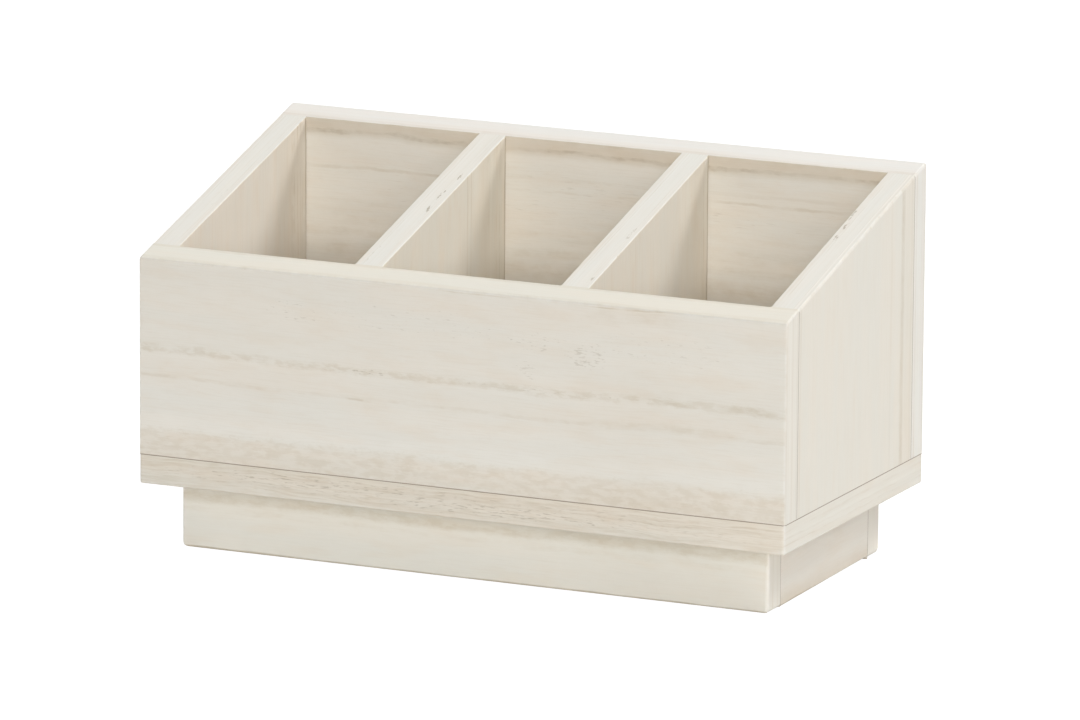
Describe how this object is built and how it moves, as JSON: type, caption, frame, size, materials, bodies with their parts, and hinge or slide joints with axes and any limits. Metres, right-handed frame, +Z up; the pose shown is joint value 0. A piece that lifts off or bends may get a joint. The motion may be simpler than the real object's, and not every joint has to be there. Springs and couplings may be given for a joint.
{
  "type": "utensil holder",
  "caption": "Whitewashed wooden utensil holder: raked open box divided into side-by-side compartments, on a base board and a set-back plinth.",
  "frame": {"origin": "on the table, under the middle of the holder's overall box", "axes": "+Z up, +X along the width, to the right when seen from the low front, and -Y towards the low front, so +Y points to the tall back"},
  "size_m": [0.305, 0.152, 0.1721],
  "materials": {
    "whitewashed_wood": "pale whitewashed wood with soft brownish grain streaks, matt",
    "dowel_wood": "plain unfinished beech, matt",
    "screw_steel": "zinc-plated steel, satin"
  },
  "bodies": {
    "root": {"front_panel": "whitewashed_wood", "back_panel": "whitewashed_wood", "left_side": "whitewashed_wood", "right_side": "whitewashed_wood", "left_divider": "whitewashed_wood", "right_divider": "whitewashed_wood", "base_board": "whitewashed_wood", "plinth_front_rail": "whitewashed_wood", "plinth_back_rail": "whitewashed_wood", "plinth_left_rail": "whitewashed_wood", "plinth_right_rail": "whitewashed_wood", "plinth_front_left_block": "whitewashed_wood", "plinth_front_right_block": "whitewashed_wood", "plinth_back_left_block": "whitewashed_wood", "plinth_back_right_block": "whitewashed_wood", "front_left_corner_dowels": "dowel_wood", "front_right_corner_dowels": "dowel_wood", "back_left_corner_dowels": "dowel_wood", "back_right_corner_dowels": "dowel_wood", "front_panel_screws": "screw_steel", "back_panel_screws": "screw_steel", "side_board_screws": "screw_steel"}
  },
  "joints": []
}
